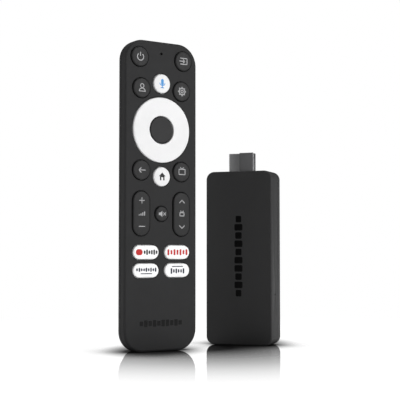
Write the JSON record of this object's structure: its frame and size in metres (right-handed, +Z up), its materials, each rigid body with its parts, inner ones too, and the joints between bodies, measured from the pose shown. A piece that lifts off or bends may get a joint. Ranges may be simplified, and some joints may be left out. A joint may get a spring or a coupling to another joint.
{
  "type": "streaming media player",
  "caption": "Streaming media player set: a slim HDMI stick with a bare plug on top, beside an upright voice remote with a ring pad, rockers and pill-shaped shortcut keys.",
  "frame": {"origin": "on the table, under the middle of the box round both halves as they stand side by side", "axes": "+Z is up, along both halves; -Y is the side that both halves face, with the handset on -X turned 33.5 degrees towards +X and the stick on +X turned 21.3 degrees towards -X"},
  "size_m": [0.0818, 0.0662, 0.1525],
  "materials": {
    "handset_case": "fine spark-eroded texture, moulded in charcoal black",
    "stick_case": "fine spark-eroded texture, moulded in black",
    "dark_key": "smooth satin, slightly lighter than the case",
    "white_key": "smooth satin white",
    "silicone": "soft moulded sheet",
    "circuit_board": "solder mask over glass laminate",
    "chip": "moulded epoxy",
    "steel": "nickel-plated pressed sheet or wire",
    "plug_steel": "dark nickel-plated pressed sheet",
    "aluminium": "plain rolled plate",
    "battery_jacket": null,
    "led_lens": "clear dark epoxy",
    "thermal_pad": "soft filled silicone"
  },
  "bodies": {
    "handset": {"handset_front_shell": "handset_case", "handset_back_shell": "handset_case", "battery_1": "battery_jacket", "battery_2": "battery_jacket", "battery_spring_1": "steel", "battery_spring_2": "steel", "battery_bridge_contact": "steel", "battery_end_contact": "steel", "keypad_mat": "silicone", "handset_board": "circuit_board", "board_screw_1": "steel", "board_screw_2": "steel", "board_screw_3": "steel", "radio_chip": "chip", "microphone": "steel", "infrared_led": "led_lens"},
    "battery_door": {"battery_door": "handset_case"},
    "power_key": {"power_key": "dark_key"},
    "input_key": {"input_key": "dark_key"},
    "assistant_key": {"assistant_key": "white_key"},
    "profile_key": {"profile_key": "dark_key"},
    "settings_key": {"settings_key": "dark_key"},
    "ok_key": {"ok_key": "dark_key"},
    "back_key": {"back_key": "dark_key"},
    "guide_key": {"guide_key": "dark_key"},
    "home_key": {"home_key": "white_key"},
    "mute_key": {"mute_key": "dark_key"},
    "app_key_1": {"app_key_1": "white_key"},
    "app_key_2": {"app_key_2": "white_key"},
    "app_key_3": {"app_key_3": "white_key"},
    "app_key_4": {"app_key_4": "white_key"},
    "volume_rocker": {"volume_rocker": "dark_key"},
    "channel_rocker": {"channel_rocker": "dark_key"},
    "dpad_plate": {"dpad_plate": "dark_key"},
    "dpad_ring": {"dpad_ring": "white_key"},
    "stick": {"stick_front_shell": "stick_case", "stick_back_shell": "stick_case", "hdmi_plug_shell": "plug_steel", "hdmi_plug_insert": "chip", "usb_socket_shell": "steel", "usb_socket_tongue": "chip", "stick_board": "circuit_board", "stick_screw_1": "steel", "stick_screw_2": "steel", "processor_chip": "chip", "memory_chip": "chip", "flash_chip": "chip", "thermal_pad": "thermal_pad", "shield_can": "steel", "heat_spreader": "aluminium", "wifi_antenna": "steel", "reset_switch": "steel"},
    "reset_button": {"reset_button": "dark_key"}
  },
  "joints": [
    {"name": "battery_door_hinge", "type": "hinge", "parent": "handset", "child": "battery_door", "pos_m": [-0.03044, -0.00713, 0.00815], "axis": [-0.8339, -0.5519, 0], "range_deg": [0, 70]},
    {"name": "power_key_press", "type": "slide", "parent": "handset", "child": "power_key", "axis": [-0.5519, 0.8339, 0], "range_m": [0, 0.0007], "stiffness_N_per_m": 1500},
    {"name": "input_key_press", "type": "slide", "parent": "handset", "child": "input_key", "axis": [-0.5519, 0.8339, 0], "range_m": [0, 0.0007], "stiffness_N_per_m": 1500},
    {"name": "assistant_key_press", "type": "slide", "parent": "handset", "child": "assistant_key", "axis": [-0.5519, 0.8339, 0], "range_m": [0, 0.0007], "stiffness_N_per_m": 1500},
    {"name": "profile_key_press", "type": "slide", "parent": "handset", "child": "profile_key", "axis": [-0.5519, 0.8339, 0], "range_m": [0, 0.0007], "stiffness_N_per_m": 1500},
    {"name": "settings_key_press", "type": "slide", "parent": "handset", "child": "settings_key", "axis": [-0.5519, 0.8339, 0], "range_m": [0, 0.0007], "stiffness_N_per_m": 1500},
    {"name": "ok_key_press", "type": "slide", "parent": "handset", "child": "ok_key", "axis": [-0.5519, 0.8339, 0], "range_m": [0, 0.0006], "stiffness_N_per_m": 1500},
    {"name": "back_key_press", "type": "slide", "parent": "handset", "child": "back_key", "axis": [-0.5519, 0.8339, 0], "range_m": [0, 0.0007], "stiffness_N_per_m": 1500},
    {"name": "guide_key_press", "type": "slide", "parent": "handset", "child": "guide_key", "axis": [-0.5519, 0.8339, 0], "range_m": [0, 0.0007], "stiffness_N_per_m": 1500},
    {"name": "home_key_press", "type": "slide", "parent": "handset", "child": "home_key", "axis": [-0.5519, 0.8339, 0], "range_m": [0, 0.0007], "stiffness_N_per_m": 1500},
    {"name": "mute_key_press", "type": "slide", "parent": "handset", "child": "mute_key", "axis": [-0.5519, 0.8339, 0], "range_m": [0, 0.0007], "stiffness_N_per_m": 1500},
    {"name": "app_key_1_press", "type": "slide", "parent": "handset", "child": "app_key_1", "axis": [-0.5519, 0.8339, 0], "range_m": [0, 0.0007], "stiffness_N_per_m": 1500},
    {"name": "app_key_2_press", "type": "slide", "parent": "handset", "child": "app_key_2", "axis": [-0.5519, 0.8339, 0], "range_m": [0, 0.0007], "stiffness_N_per_m": 1500},
    {"name": "app_key_3_press", "type": "slide", "parent": "handset", "child": "app_key_3", "axis": [-0.5519, 0.8339, 0], "range_m": [0, 0.0007], "stiffness_N_per_m": 1500},
    {"name": "app_key_4_press", "type": "slide", "parent": "handset", "child": "app_key_4", "axis": [-0.5519, 0.8339, 0], "range_m": [0, 0.0007], "stiffness_N_per_m": 1500},
    {"name": "volume_rocker_rock", "type": "hinge", "parent": "handset", "child": "volume_rocker", "pos_m": [-0.0301, -0.02849, 0.0672], "axis": [0.8339, 0.5519, 0], "range_deg": [-2.5, 2.5], "stiffness_Nm_per_rad": 0.3},
    {"name": "channel_rocker_rock", "type": "hinge", "parent": "handset", "child": "channel_rocker", "pos_m": [-0.01092, -0.01579, 0.0672], "axis": [0.8339, 0.5519, 0], "range_deg": [-2.5, 2.5], "stiffness_Nm_per_rad": 0.3},
    {"name": "dpad_up_down", "type": "hinge", "parent": "handset", "child": "dpad_plate", "pos_m": [-0.0215, -0.02064, 0.1086], "axis": [0.8339, 0.5519, 0], "range_deg": [-1.5, 1.5], "stiffness_Nm_per_rad": 0.6},
    {"name": "dpad_left_right", "type": "hinge", "parent": "dpad_plate", "child": "dpad_ring", "pos_m": [-0.0215, -0.02064, 0.1086], "axis": [0, 0, 1], "range_deg": [-1.5, 1.5], "stiffness_Nm_per_rad": 0.6},
    {"name": "stick_lift", "type": "slide", "parent": "handset", "child": "stick", "axis": [0, 0, 1], "range_m": [0, 0.1]},
    {"name": "reset_press", "type": "slide", "parent": "stick", "child": "reset_button", "axis": [-0.9317, 0.3633, 0], "range_m": [0, 0.00025], "stiffness_N_per_m": 2000}
  ]
}
